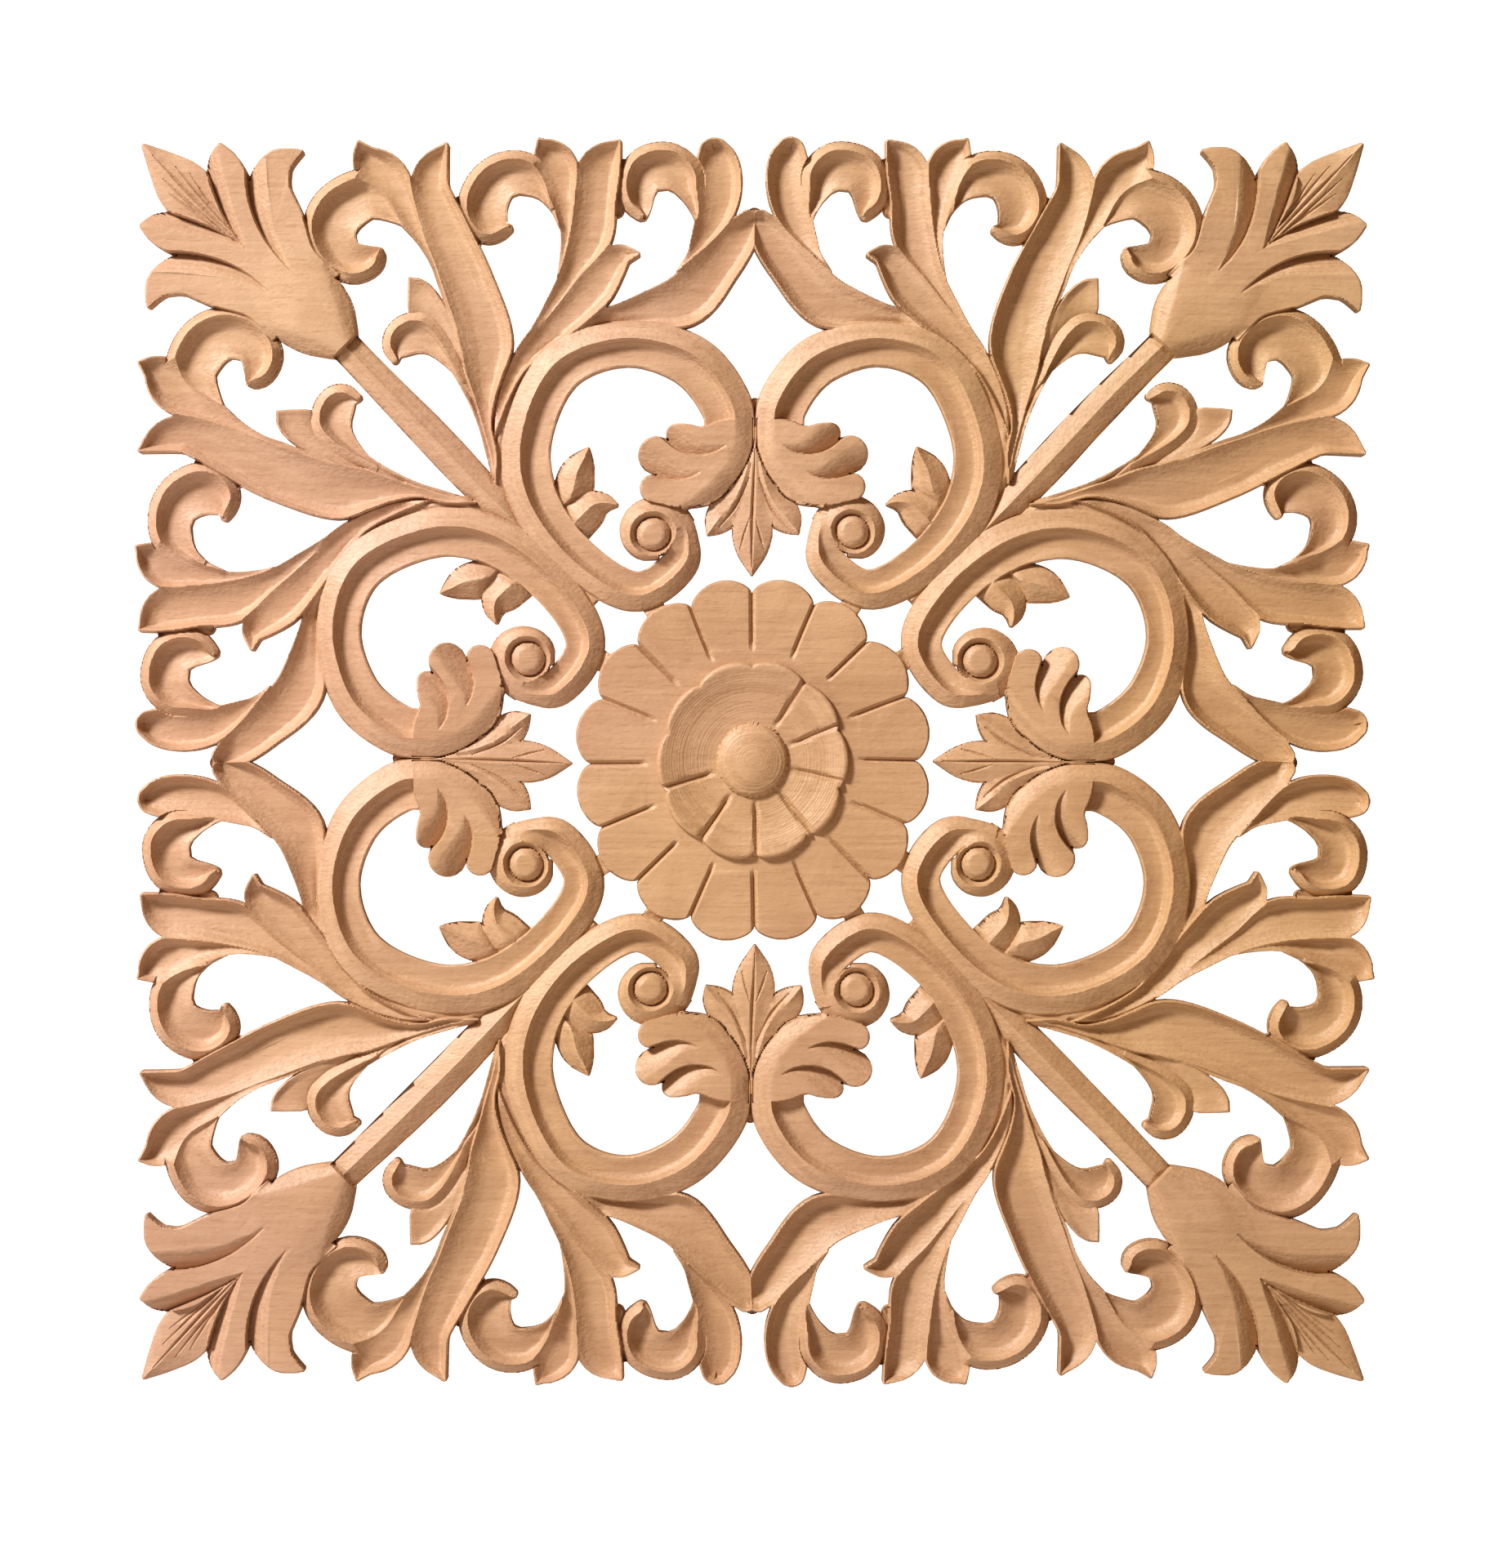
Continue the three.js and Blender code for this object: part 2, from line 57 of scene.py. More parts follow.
# Sizes in millimetres.
MM = 0.001
WIDTH = 600  # the design is drawn on a square of this width
GRID = 0.5  # spacing of the points where the relief is worked out
REACH = 304  # how far the drawn eighth goes up from the middle
LINE_SPACING = 0.7  # spacing of the points on a centreline
FAR_OUT = -99.0  # depth inside the outline where no form is near
OUTLINE_SNAP = 0.08  # least distance between the outline and a point of the grid
LEAST_HALF = 0.5
MOST_WIDENING = 0.9  # how fast a half-width can grow along a line
FULL_GOUGE_WIDTH = 9  # half-width from which a hollow is cut to its full depth
START_REACH = 12  # how far along a form its flat start can still cut it
TIP_RUN = 14  # how far from its tip a leaf starts to close its hollow
TIP_RIM = 4  # the width of the slope that closes it
FADE_IN = 14  # the run over which a hollow grows from the start of its form
RIM = 1.0  # edge that a gouge leaves beside the outline
EDGE_WIDTH = 0.9  # the worn edge along the outline, and how steep it is
EDGE_SLOPE = 0.8
SEAM_WIDTH = 2  # the knife cut beside a form that lies over another one
SEAM_DEPTH = 1.1
STEP_RUN = 0.9  # the width over which one form steps up to the next
STEP_DROP = 6  # how far a step can go down
CUT_CURVE = 1.4  # how hollow the slope of a cut is
CUT_WALL = 0.9  # the width of the steep side of a cut
OCTANT_TRIANGLES = 21500
SHARP_ANGLE = math.radians(30)

# Heights over the back.
SCROLL_TOP = 18
LEAF_TOP = 16.5
LEAF_DEPTH = 6.1
CURL_DEPTH = 6.4
PALM_TOP = 16.5
SPRIG_TOP = 15
WEB_TOP = 12
LOWEST_FACE = 5  # every point of the carved face lies higher than this
PLATE_TOP = 15

# The flower's plate of petals, the turned rosette on it, and the boss in the middle.
PETALS = {"count": 16, "tip": 87, "notch": 79, "roundness": 0.6, "round": 1.2, "well": 40, "well_floor": 10.5}
PETAL_GROOVE = {"inner": 50, "half": 1.7, "depth": 2.4}
ROSETTE = {"count": 10, "tip": 47, "notch": 44, "roundness": 0.6, "top": 18.6, "foot": 8, "round": 2.2}
ROSETTE_GROOVE = {"inner": 18, "half": 1.8, "depth": 2.6}
ROSETTE_GROOVES = [35, 69, 103, 140, 178, 216, 255]  # degrees, clockwise from the top
DISH = {"outer": 44.5, "floor": 13.3, "climb": 1.7}
BOSS = {"radius": 17, "edge": 14.6, "top": 19.4, "fullness": 0.7}
TURNING = {"spacing": 1.7, "depth": 0.07}  # the fine rings that the lathe left

# The volute's eye and the ring that winds round it.
EYE = {"x": 49.5, "z": 109.8, "radius": 8, "edge": 15, "top": 17.8, "flat": 0.5, "moat": 11, "floor": 13, "bank": 1.5}
RING = {"turn": (168, -95), "radius": (15.4, 11), "half": (6, 1.8), "knots": 8}

# The carved forms: section, height of the highest edge, depth of the cut, and the centreline as knots of
# [x from the middle, z from the middle, half-width].
SCROLL = {
    "scroll": ("cove", SCROLL_TOP, 5.6, [
        [37, 118, 6], [34, 107, 6.4], [36, 95.5, 9], [56.5, 82, 9.6], [84.5, 97, 10.4], [106.5, 127, 12],
        [109.5, 155, 11.6], [92.5, 190.8, 11.6], [61.5, 201.7, 10.8], [30, 192.3, 12.2], [13.3, 170.5, 12.6],
        [12, 158, 12.6]]),
}
CLAW = {
    "claw_back": ("flat", SCROLL_TOP, 0, [
        [5, 166, 4.8], [5.5, 151, 4.6], [12, 137.5, 4.5], [22.5, 129, 4.4], [34, 125, 3.6]]),
    "claw_upper": ("flat", SCROLL_TOP, 0, [
        [6, 158, 8], [15, 157.5, 7.5], [26, 155.5, 6], [33, 156.5, 6.4], [38, 158, 5.2]]),
    "claw_middle": ("flat", SCROLL_TOP, 0, [
        [8, 146, 7], [18, 145.3, 8], [31, 144.5, 8.5], [41, 146, 9.5], [48, 148.5, 8.8]]),
    "claw_lower": ("flat", SCROLL_TOP, 0, [
        [13, 137, 4.5], [21, 132, 7.6], [32, 130.5, 8.5], [43, 132, 8], [49, 132.5, 6.8]]),
}
SPRIG_POINT = {
    "sprig_point": ("roof", SPRIG_TOP, 4.5, [
        [91, 123, 6], [88, 131.5, 9.4], [86, 140, 8.2], [83, 146.5, 4.6], [80.6, 151.8, 0.8]]),
}
SPRIG_HOOK = {
    "sprig_hook": ("roof", SPRIG_TOP, 4.5, [
        [88, 115, 10], [82, 121, 9.5], [78, 124.5, 7.3], [72.5, 125.7, 4.4], [67, 124.7, 1.2]]),
}
FIRST_LEAF = {
    "first_leaf_blade": ("leaf", LEAF_TOP, LEAF_DEPTH, [
        [124.3, 134, 0.7], [125.5, 149, 2.2], [128.7, 163, 3], [129.5, 178, 6.5], [129.3, 190, 10.5],
        [128.6, 202, 13.4], [137.5, 230, 13.3], [150.5, 256.5, 12.6], [157, 275, 9.8], [156, 284.5, 8],
        [149.6, 296.5, 1.6]]),
    "first_leaf_horn": ("leaf", LEAF_TOP, LEAF_DEPTH, [
        [134, 186, 0.6], [140.5, 203, 1.2], [146, 216.5, 1.5], [150.5, 228, 1.7], [154.6, 239.5, 2],
        [159.8, 250, 2.9], [165.3, 260, 5.2], [171.5, 270.5, 8.5], [179.5, 280.5, 12.2], [188, 289.5, 7],
        [191.6, 298, 1.2]]),
    "first_leaf_curl": ("curl", LEAF_TOP, CURL_DEPTH, [
        [162, 252, 0.6], [169.5, 260.5, 2.5], [177, 268.5, 7.5], [184, 273.3, 11], [190, 273.8, 12.3],
        [202, 266.7, 13.6], [206.5, 258, 13.2], [205, 249.5, 12], [201, 243.5, 11], [195, 240.4, 10], [188, 241, 7.8],
        [183.7, 243.4, 4.8], [181.4, 246, 1.8]]),
}
SECOND_LEAF = {
    "second_leaf_side": ("leaf", LEAF_TOP, LEAF_DEPTH, [
        [125, 156, 0.6], [122.6, 167.5, 2.4], [119, 178, 3.5], [113, 190, 4.6], [106.5, 198.5, 6.2],
        [95.5, 209.5, 8], [86, 219, 9.8], [77.3, 229, 11.4], [70, 237.5, 9], [64, 242.5, 5.6], [55.5, 243.4, 1.2]]),
    "second_leaf_blade": ("leaf", LEAF_TOP, LEAF_DEPTH, [
        [112, 200, 0.8], [105, 207.5, 2.2], [95.5, 221.5, 3.8], [87, 235, 5.8], [78.5, 252.5, 11], [76, 270, 10.3],
        [74.5, 284.5, 10.6], [65.5, 297, 2]]),
    "second_leaf_horn": ("leaf", LEAF_TOP, LEAF_DEPTH, [
        [95, 227, 0.5], [91.5, 240, 1.5], [89.5, 255, 3], [91.5, 273, 6.6], [95.5, 286, 10.5], [104, 298.6, 1.4]]),
    "second_leaf_curl": ("curl", LEAF_TOP, CURL_DEPTH, [
        [92, 256, 0.8], [96, 267, 2.5], [101, 276, 6], [108, 281.8, 9.5], [116, 283.3, 10.8],
        [124.5, 280.3, 11.6], [129.5, 274, 12.3], [131.3, 266.5, 12.2], [128.5, 259, 9.6], [122.5, 255.8, 5],
        [117.5, 256.2, 2]]),
}
THIRD_LEAF = {
    "third_leaf_side": ("leaf", LEAF_TOP, LEAF_DEPTH, [
        [84, 209.5, 6.5], [66, 214, 6], [51, 217.3, 8.4], [34, 221.3, 12.5], [16.8, 238.8, 10.8],
        [8.5, 250, 9.6], [2.5, 258.5, 6]]),
    "third_leaf_blade": ("leaf", LEAF_TOP, LEAF_DEPTH, [
        [37, 234.5, 0.8], [30, 243, 2.4], [25.5, 250, 5], [20, 260, 8.4], [17, 270, 10.2], [16.2, 280, 10.7],
        [17.2, 287.5, 10], [18.4, 292.5, 7.6]]),
    "third_leaf_curl": ("curl", LEAF_TOP, CURL_DEPTH, [
        [25, 254, 1.5], [26, 264, 4], [29.5, 274, 6.5], [34, 282.5, 10], [41, 286.4, 11.6], [52, 284, 11.2],
        [56, 277.3, 10], [56.3, 270.5, 8], [55, 266, 5.5], [54, 262.8, 3.2]]),
}
TONGUE_POINT = {
    "tongue_point": ("leaf", SPRIG_TOP, 2, [
        [125.5, 136, 0.6], [127.5, 149, 2], [131.5, 164.5, 2.6], [139.2, 184.5, 4.4], [149, 204, 7.2],
        [158, 217, 9.4], [162, 226, 6], [167, 232.2, 0.8]]),
}
TONGUE_HOOK = {
    "tongue_hook": ("curl", SPRIG_TOP, 4.5, [
        [130, 166, 0.8], [138, 181, 2], [145.5, 192.5, 4.2], [155, 202.5, 7.4], [163, 206, 10], [170, 204, 9.6],
        [174.3, 199, 6], [174, 192.5, 2]]),
}
PALMETTE = {
    "corner_tip": ("roof", 15.5, 2, [
        [243.5, 243.5, 3.5], [257, 257, 6], [271, 271, 12.6], [276.5, 276.5, 13.4], [284, 284, 9.6],
        [296.6, 296.6, 1.2]]),
    "corner_inner_leaf": ("flat", PALM_TOP, 0, [
        [222, 226, 5], [233, 240, 7], [246, 257, 7.6], [254, 276, 11], [257, 287, 8.4], [258.6, 297, 1.5]]),
    "corner_outer_leaf": ("flat", PALM_TOP, 0, [
        [207, 229, 8.3], [220.5, 243, 8], [231, 261, 12.2], [235.5, 276, 10.8], [231, 288, 7], [225, 292, 4],
        [219, 294.2, 1]]),
    "bulb": ("dome", 18.5, 2, [
        [198.8, 198.8, 5.6], [204.5, 204.5, 11.3], [210.1, 210.1, 16], [214.4, 214.4, 19.3], [219, 219, 21],
        [226, 226, 19.8], [245, 245, 9]]),
}
STEM = {
    "stem": ("roof", 15, 3.5, [[110, 110, 2], [125, 125, 7.6], [202, 202, 8]]),
}
PENDANT = {
    "pendant": ("roof", 14.6, 2, [
        [0, 162, 1.2], [0, 140, 5], [0, 122, 9], [0, 112, 10.5], [0, 104, 9], [0, 88.5, 0.8]]),
    "pendant_side": ("roof", 14.6, 2.5, [
        [2.5, 145, 3.5], [6.7, 131, 5.6], [11.5, 122.5, 8.6], [16.5, 117, 7.6], [22.6, 109, 0.9]]),
}
WEBS = {
    "inner_curl_web": ("flat", WEB_TOP, 0, [[65.5, 289.5, 3.5], [66, 265, 3.5]]),
    "outer_curl_web": ("flat", WEB_TOP, 0, [[145, 271.5, 3], [134.5, 250.5, 3]]),
    "root_web": ("flat", 14.5, 0, [[96, 98, 8], [116, 132, 9], [119, 160, 9], [111, 190, 8]]),
    "flower_web": ("flat", 13.5, 0, [[44, 66, 5], [52, 79, 5]]),
    "groove_floor": ("flat", 14, 0, [[77, 77, 8], [112, 112, 8]]),
    "leaf_bridge": ("flat", 11, 0, [[0, 249.5, 4], [0, 261.5, 4]]),
    "scroll_bridge": ("flat", 11, 0, [[0, 140, 4], [0, 171.5, 4]]),
}

# Cuts made with a knife or a parting tool: the group they lie on, the depth, the side that slopes down to the bottom
# of the cut (the other side is a steep wall), and the bottom line as knots of [x, z, width of the slope].
CUTS = [
    ("claw", 4, "both", [[0, 176, 10], [0.2, 166, 10], [1, 151, 10], [8, 135.5, 9.5], [19.7, 125.6, 8],
                         [32.8, 121.6, 4]]),
    ("claw", 7, "left", [[14, 152.5, 0.5], [19, 149.3, 3.5], [25, 148, 6.5], [31, 148.3, 9], [36.5, 150.3, 11],
                         [41, 153.4, 12], [45, 157, 12]]),
    ("claw", 7, "left", [[26, 139.5, 0.5], [30.5, 137.2, 3.5], [36.5, 136, 7], [42.5, 136.6, 10], [48, 138.3, 12],
                         [52, 139.8, 13], [56, 141.8, 13]]),
    ("palmette", 7.5, "left", [[226, 237, 0.5], [233, 245, 3.5], [239, 254, 6.5], [243.5, 265, 8.5], [245.5, 275, 10],
                               [246, 290, 10]]),
    ("palmette", 7.5, "left", [[248, 248, 0.5], [252, 254, 3], [258, 265, 5.8], [262, 275, 7.2], [265, 284, 8],
                               [267, 292, 8]]),
    ("palmette", 3.6, "both", [[193.2, 204.4, 5], [193.4, 212, 8.5], [196, 221, 9], [201.3, 231, 7], [208, 240, 2]]),
    ("palmette", 2, "both", [[248, 248, 0.5], [270, 270, 1.5], [292, 292, 0.5]]),
    ("palmette", 1.6, "both", [[251.5, 253.5, 0.4], [262, 267, 1.2], [274, 284, 0.4]]),
    ("palmette", 1.6, "both", [[250.5, 252.2, 0.4], [266, 270, 1.2], [281, 287, 0.4]]),
    ("pendant", 2.2, "both", [[0, 150, 0.5], [0, 120, 1.5], [0, 92, 0.5]]),
    ("pendant", 1.8, "both", [[2.5, 136, 0.5], [9, 122, 1.3], [17, 112, 0.5]]),
    ("pendant", 1.2, "both", [[1.5, 116, 0.4], [4, 108, 0.9], [6, 101, 0.4]]),
]

# Each group of forms, lowest first: how its own forms meet, and whether it lies over what is below it or only
# rises out of it.
LAYERS = [
    ("webs", WEBS, "highest", "rises"),
    ("pendant", PENDANT, "highest", "rises"),
    ("stem", STEM, "highest", "over"),
    ("tongue_point", TONGUE_POINT, "hollowed", "over"),
    ("tongue_hook", TONGUE_HOOK, "hollowed", "over"),
    ("third_leaf", THIRD_LEAF, "hollowed", "over"),
    ("second_leaf", SECOND_LEAF, "hollowed", "over"),
    ("first_leaf", FIRST_LEAF, "hollowed", "over"),
    ("palmette", PALMETTE, "highest", "over"),
    ("sprig_point", SPRIG_POINT, "highest", "over"),
    ("sprig_hook", SPRIG_HOOK, "highest", "over"),
    ("scroll", SCROLL, "highest", "over"),
    ("claw", CLAW, "highest", "rises"),
]


def eased(t):
    t = np.clip(t, 0, 1)
    return t * t * (3 - 2 * t)


# Sections across a form. Each gives the share of its depth that is cut off, from the place across it (u is +1 on the
# left edge, looking along the form, and -1 on the right edge).
def trough(v, deepest, far_edge, climb):
    """A round hollow from its near edge at v = 0, deepest where stated, up to a share of the depth at v = 1."""
    v = np.clip(v, 0, 1)
    near = 1 - (1 - v / deepest) ** 2
    far = 1 - (1 - far_edge) * np.clip((v - deepest) / (1 - deepest), 0, 1) ** climb
    return np.where(v < deepest, near, far)


def cove(field):
    """A bevel outside the ridge and a hollow inside it. Where it leaves the volute it is still a plain slope."""
    ridge, outer_cut, young_run = -0.2, 0.7, 30
    u = field["u"]
    bevel = outer_cut * (ridge - u) / (1 + ridge)
    grown = np.where(u < ridge, bevel, trough((u - ridge) / (1 - ridge), 0.36, 0.7, 2))
    young = 1 - eased(field["along"] / young_run)
    return grown + young * (roll_outward(-u) - grown)


def leaf(field):
    """A hollow that is steep beside its left rim and climbs to a ridge on the right."""
    v = (field["half"] - field["across"] - RIM) / (2 * field["half"] - 0.5 * RIM)
    at_tip = eased((field["along"] - field["length"] + TIP_RUN) / TIP_RUN)
    rim = eased((field["half"] - np.abs(field["across"])) / TIP_RIM)
    return trough(v, 0.24, 0, 2.6) * eased(field["along"] / FADE_IN) * (1 - at_tip * (1 - rim))


def curl(field):
    """A rim that is bevelled outside, a steep wall inside it and a floor that runs out to the inner edge."""
    bevel, outer_cut = 4.5, 0.65
    grown = eased(field["along"] / (0.35 * field["length"]))
    v = (field["half"] - field["across"] - bevel) / (2 * field["half"] - bevel)
    inner = trough(v, 0.36, 0.5, 2)
    outer = outer_cut * grown * np.clip(-v * (2 * field["half"] - bevel) / bevel, 0, 1)
    return np.where(v > 0, inner * eased(field["along"] / FADE_IN), outer)


def roll_outward(u):
    return np.clip((1 + u) / 2, 0, 1) ** 1.6


def ring(field):
    return roll_outward(field["u"])


def roof(field):
    return np.abs(field["u"])


def dome(field):
    """Round across, and sinking towards its far end."""
    sunk = eased((field["along"] / field["length"] - 0.35) / 0.6)
    return 1 - (1 - field["u"] ** 2) * (1 - sunk)


def flat(field):
    return np.zeros_like(field["u"])


SECTIONS = {"cove": cove, "leaf": leaf, "curl": curl, "ring": ring, "roof": roof, "dome": dome, "flat": flat}


# Centrelines and what lies beside them.
def smooth_line(knots):
    """Points of [x, z, half-width] along the smooth curve that runs through the knots."""
    given = np.array(knots, float)
    padded = np.vstack([2 * given[0] - given[1], given, 2 * given[-1] - given[-2]])
    stretches = []
    for before, start, end, after in zip(padded, padded[1:], padded[2:], padded[3:]):
        first, middle, last = (math.sqrt(np.linalg.norm(step)) for step in (start - before, end - start, after - end))
        leave = ((start - before) / first - (end - before) / (first + middle)) * middle + (end - start)
        arrive = (end - start) - ((after - start) / (middle + last) - (after - end) / last) * middle
        steps = max(2, math.ceil(middle * middle / LINE_SPACING))
        t = np.arange(steps)[:, None] / steps
        stretches.append((2 * t**3 - 3 * t**2 + 1) * start + (t**3 - 2 * t**2 + t) * leave
                         + (3 * t**2 - 2 * t**3) * end + (t**3 - t**2) * arrive)
    return np.vstack(stretches + [given[-1:]])


def beside(line, x, z):
    """For each point, the stretch of the line that it lies deepest in: across it (left is plus), along it, and the
    half-width there."""
    start, run = line[:-1], np.diff(line, axis=0)
    length = np.hypot(run[:, 0], run[:, 1])
    begun = np.concatenate([[0], np.cumsum(length)])
    widening = np.clip(run[:, 2] / length, -MOST_WIDENING, MOST_WIDENING)
    lead = widening / np.sqrt(1 - widening**2)  # the deepest place lies ahead of the nearest one on a widening form
    across, half, along = (np.empty(len(x)) for _ in range(3))
    share_size = max(1, 2000000 // len(start))
    for low in range(0, len(x), share_size):
        part = slice(low, low + share_size)
        to_x = x[part, None] - start[:, 0]
        to_z = z[part, None] - start[:, 1]
        aside = np.abs(to_z * run[:, 0] - to_x * run[:, 1]) / length
        t = np.clip(((to_x * run[:, 0] + to_z * run[:, 1]) / length + aside * lead) / length, 0, 1)
        away = np.hypot(to_x - t * run[:, 0], to_z - t * run[:, 1])
        width = np.maximum(start[:, 2] + t * run[:, 2], LEAST_HALF)
        best = np.argmax(width - away, axis=1)
        row = np.arange(len(best))
        left = to_z[row, best] * run[best, 0] > to_x[row, best] * run[best, 1]
        across[part] = np.where(left, 1, -1) * away[row, best]
        half[part] = width[row, best]
        along[part] = begun[best] + t[row, best] * length[best]
    return {"across": across, "half": half, "along": along, "length": begun[-1], "u": np.clip(across / half, -1, 1)}


def near_line(line, x, z, margin):
    reach = line[:, 2].max() + margin
    low, high = line[:, :2].min(0) - reach, line[:, :2].max(0) + reach
    return np.flatnonzero((x > low[0]) & (x < high[0]) & (z > low[1]) & (z < high[1]))


def depth_inside(field, line, x, z):
    """How far inside the form's outline each point lies, below zero outside it. A form starts flat and ends round."""
    inside = field["half"] - np.abs(field["across"])
    ahead = (line[1] - line[0])[:2]
    past_start = ((x - line[0, 0]) * ahead[0] + (z - line[0, 1]) * ahead[1]) / np.hypot(*ahead)
    return np.where(field["along"] < START_REACH, np.minimum(inside, past_start), inside)


def form_relief(form, x, z):
    """Depth inside the outline and height over the back, at each point, of one carved form."""
    section, top, cut, knots = form
    line = smooth_line(knots)
    inside, height = np.full(len(x), FAR_OUT), np.zeros(len(x))
    near = near_line(line, x, z, SEAM_WIDTH)
    if len(near):
        field = beside(line, x[near], z[near])
        share = 1 - np.clip(1 - field["half"] / FULL_GOUGE_WIDTH, 0, 1) ** 2
        inside[near] = depth_inside(field, line, x[near], z[near])
        height[near] = top - cut * share * SECTIONS[section](field)
    return inside, height


def group_relief(forms, meeting, x, z):
    """The forms of one group together: they keep the highest surface, or each hollow is cut into the others."""
    inside, height = np.full(len(x), FAR_OUT), np.zeros(len(x))
    for form in forms.values():
        form_inside, form_height = form_relief(form, x, z)
        here, other = form_inside > 0, inside > 0
        if meeting == "highest":
            form_height = form_height - STEP_DROP * np.where(other, 1 - np.clip(form_inside / STEP_RUN, 0, 1), 0)
            height = height - STEP_DROP * np.where(here, 1 - np.clip(inside / STEP_RUN, 0, 1), 0)
        better = form_height > height if meeting == "highest" else form_height < height
        height = np.where(here & (better | ~other), form_height, height)
        inside = np.maximum(inside, form_inside)
    return inside, height


def mirrored_relief(forms, meeting, x, z):
    """A group with its mirror images across the vertical axis and the diagonal."""
    inside, height = group_relief(forms, meeting, x, z)
    for image_x, image_z in ((-x, z), (z, x)):
        image_inside, image_height = group_relief(forms, meeting, image_x, image_z)
        closer = image_inside > inside
        height = np.where(closer, image_height, height)
        inside = np.maximum(inside, image_inside)
    return inside, height


# The flower's plate and the volute's eye, which are turned rather than drawn along a line.
def scalloped_radius(angle, shape):
    bulge = np.abs(np.sin(angle * shape["count"] / 2)) ** shape["roundness"]
    return shape["notch"] + (shape["tip"] - shape["notch"]) * bulge


def rounded_edge(inside, radius):
    """How much lower a worn edge makes the surface, this far inside the outline."""
    left = np.clip(radius - inside, 0, radius)
    return radius - np.sqrt(radius**2 - left**2)


def radial_groove(radius, angle, at, groove):
    away = radius * np.abs(np.sin(angle - at))
    same_side = np.cos(angle - at) > 0
    run_in = np.clip((radius - groove["inner"]) / 6, 0, 1)
    return np.where(same_side, groove["depth"] * run_in * np.clip(1 - away / groove["half"], 0, 1), 0)


def petal_relief(x, z):
    radius, angle = np.hypot(x, z), np.arctan2(x, z)
    inside = scalloped_radius(angle, PETALS) - radius
    height = PLATE_TOP - rounded_edge(inside, PETALS["round"])
    for k in range(PETALS["count"] // 8 + 1):
        height -= radial_groove(radius, angle, k * 2 * math.pi / PETALS["count"], PETAL_GROOVE)
    return inside, np.where(radius < PETALS["well"], PETALS["well_floor"], height)


def ring_knots():
    """The ring that winds round the volute's eye, as knots on a spiral."""
    share = np.linspace(0, 1, RING["knots"])
    turn, radius, half = (np.interp(share, (0, 1), RING[name]) for name in ("turn", "radius", "half"))
    return np.column_stack([EYE["x"] + radius * np.cos(np.radians(turn)),
                            EYE["z"] + radius * np.sin(np.radians(turn)), half])


def add_eye(x, z, inside, height):
    """The round button of the volute, and the groove with a sloping bank round it."""
    away = np.hypot(x - EYE["x"], z - EYE["z"])
    moat = EYE["moat"] - away
    slope = np.clip((away / EYE["radius"] - EYE["flat"]) / (1 - EYE["flat"]), 0, 1)
    button = EYE["top"] - (EYE["top"] - EYE["edge"]) * slope**2
    bank = EYE["floor"] + (away - EYE["radius"]) * EYE["bank"]
    around = np.where(inside > 0, np.minimum(height, bank), bank)
    height = np.where(moat > 0, np.where(away < EYE["radius"], button, around), height)
    return np.maximum(inside, moat), height


# The relief of one eighth of the panel.
def lay(inside, height, owner, layer, number, manner):
    """One more group on the relief so far. A group that lies over another is knifed round."""
    layer_inside, layer_height = layer
    here, below = layer_inside > 0, inside > 0
    if manner == "over":
        seam = SEAM_DEPTH * np.clip(1 + layer_inside / SEAM_WIDTH, 0, 1)
        share = np.where(below, np.clip(layer_inside / STEP_RUN, 0, 1), 1)
        height = np.where(below, height - seam, height)
        height = np.where(here, height + share * (layer_height - height), height)
    else:
        step = STEP_DROP * np.where(below, 1 - np.clip(layer_inside / STEP_RUN, 0, 1), 0)
        here &= (layer_height - step > height) | ~below
        height = np.where(here, layer_height - step, height)
    return np.maximum(inside, layer_inside), height, np.where(here, number, owner)


def cut_share(field, side, widest):
    """How much of a cut's depth is taken off: all at its bottom, less up its slope and its wall."""
    left_width = field["half"] if side in ("left", "both") else CUT_WALL
    right_width = field["half"] if side in ("right", "both") else CUT_WALL
    width = np.where(field["across"] > 0, left_width, right_width)
    return np.clip(1 - np.abs(field["across"]) / width, 0, 1) ** CUT_CURVE * field["half"] / widest


def make_cuts(x, z, height, owner, numbers):
    for name, depth, side, knots in CUTS:
        line = smooth_line(knots)
        widest = line[:, 2].max()
        drop = np.zeros(len(x))
        for image_x, image_z in ((x, z), (-x, z), (z, x)):
            near = near_line(line, image_x, image_z, 0)
            near = near[owner[near] == numbers[name]]
            if len(near):
                field = beside(line, image_x[near], image_z[near])
                drop[near] = np.maximum(drop[near], depth * cut_share(field, side, widest))
        height = height - drop
    return height


def octant_relief(x, z):
    inside, height = petal_relief(x, z)
    owner = np.full(len(x), -1)
    numbers = {}
    for number, (name, forms, meeting, manner) in enumerate(LAYERS):
        numbers[name] = number
        layer = mirrored_relief(forms, meeting, x, z)
        inside, height, owner = lay(inside, height, owner, layer, number, manner)
    ring_form = {"ring": ("ring", SCROLL_TOP, 7, ring_knots())}
    layer = group_relief(ring_form, "highest", x, z)
    inside, height, owner = lay(inside, height, owner, layer, len(LAYERS), "rises")
    inside, height = add_eye(x, z, inside, height)
    height = make_cuts(x, z, height, owner, numbers)
    return inside, height - EDGE_SLOPE * np.clip(EDGE_WIDTH - inside, 0, EDGE_WIDTH)


